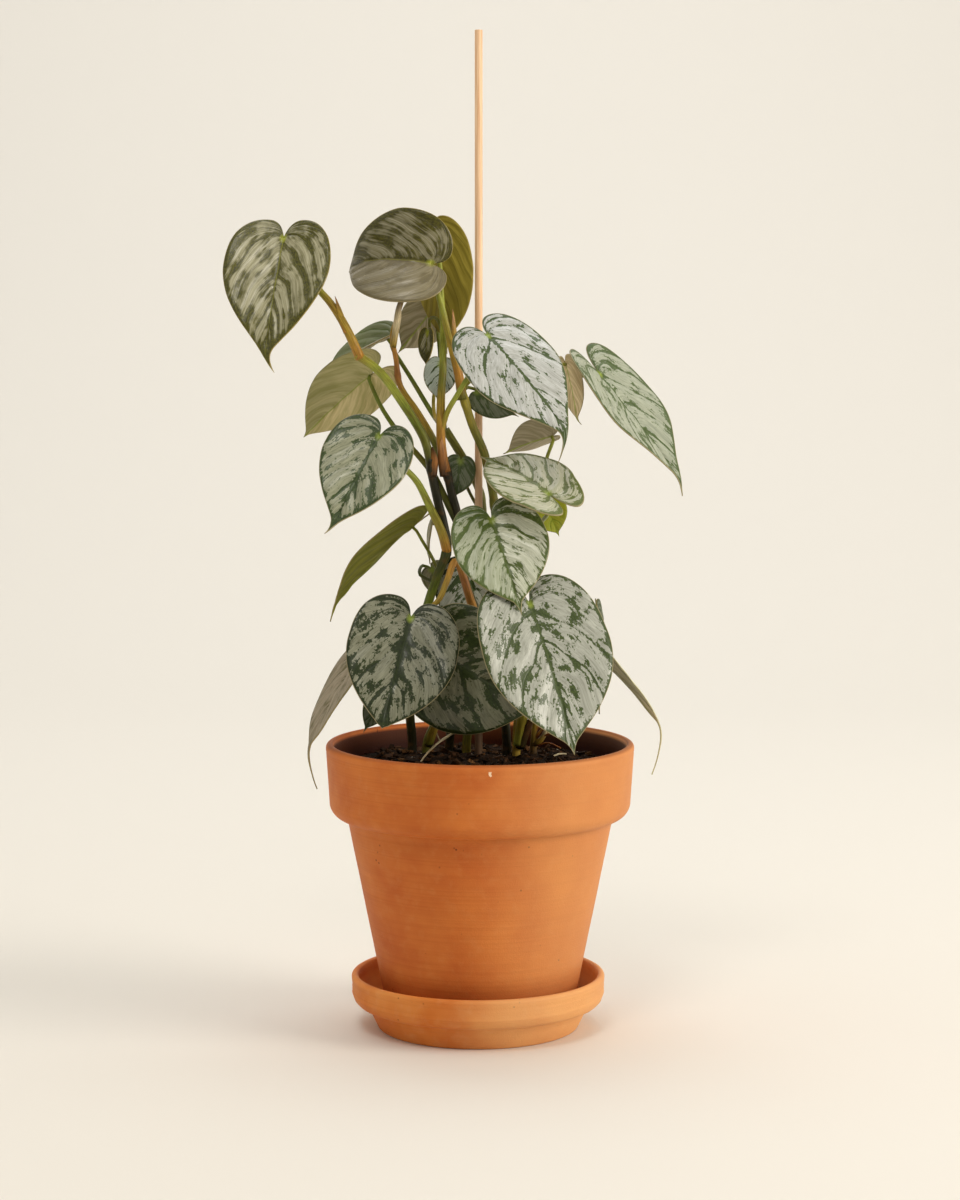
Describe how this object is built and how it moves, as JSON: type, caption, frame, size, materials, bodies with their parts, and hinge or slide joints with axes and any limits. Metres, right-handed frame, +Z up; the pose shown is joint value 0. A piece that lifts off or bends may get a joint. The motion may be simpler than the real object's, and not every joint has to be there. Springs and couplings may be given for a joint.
{
  "type": "potted plant",
  "caption": "Silver-leaved heart-leaf philodendron with bare petioles and a thin upright stake, in a round terracotta pot with a deep collar on a matching saucer.",
  "frame": {"origin": "on the pot's axis, in the plane of the saucer's underside", "axes": "+Z up, +X to the viewer's right in the picture, +Y away from the viewer"},
  "size_m": [0.2333, 0.16, 0.515],
  "materials": {
    "terracotta": "unglazed fired clay, matt",
    "saucer_terracotta": "unglazed fired clay, matt",
    "potting_soil": "damp bark and peat, rough",
    "stake_wood": "smooth planed dowel",
    "stem_green": "satin plant stem",
    "leaf_silver": "satin leaf, silver with green marks",
    "leaf_bronze": "satin leaf, olive bronze",
    "leaf_pale": "pale leaf underside",
    "leaf_dark": "satin leaf, deep green",
    "leaf_lime": "fresh lime-green leaf"
  },
  "bodies": {
    "root": {"pot": "terracotta", "saucer": "saucer_terracotta", "soil": "potting_soil", "stake": "stake_wood", "leaf_top_left": "leaf_bronze", "leaf_top": "leaf_bronze", "leaf_top_back": "leaf_bronze", "leaf_front_upper": "leaf_silver", "leaf_young_inner": "leaf_silver", "leaf_rolled_inner": "leaf_bronze", "leaf_back_upper": "leaf_pale", "leaf_back_left": "leaf_pale", "leaf_left_under": "leaf_pale", "leaf_left_middle": "leaf_silver", "leaf_left_low": "leaf_bronze", "leaf_slim_inner": "leaf_pale", "leaf_small_inner": "leaf_silver", "leaf_front_left": "leaf_silver", "leaf_front_middle": "leaf_silver", "leaf_inner_middle": "leaf_silver", "leaf_front_right": "leaf_silver", "leaf_right_edge": "leaf_dark", "leaf_right_low": "leaf_pale", "leaf_left_drooping": "leaf_pale", "leaf_low_tip": "leaf_dark", "leaf_centre": "leaf_silver", "leaf_centre_right": "leaf_silver", "leaf_under_upper": "leaf_pale", "leaf_right_inner": "leaf_pale", "leaf_right": "leaf_silver", "leaf_young": "leaf_lime", "leaf_small_dark": "leaf_dark", "leaf_shaded": "leaf_dark", "vine_left": "stem_green", "vine_inner": "stem_green", "vine_centre": "stem_green", "vine_front": "stem_green", "vine_low": "stem_green", "vine_back": "stem_green", "old_stub": "stem_green"}
  },
  "joints": []
}
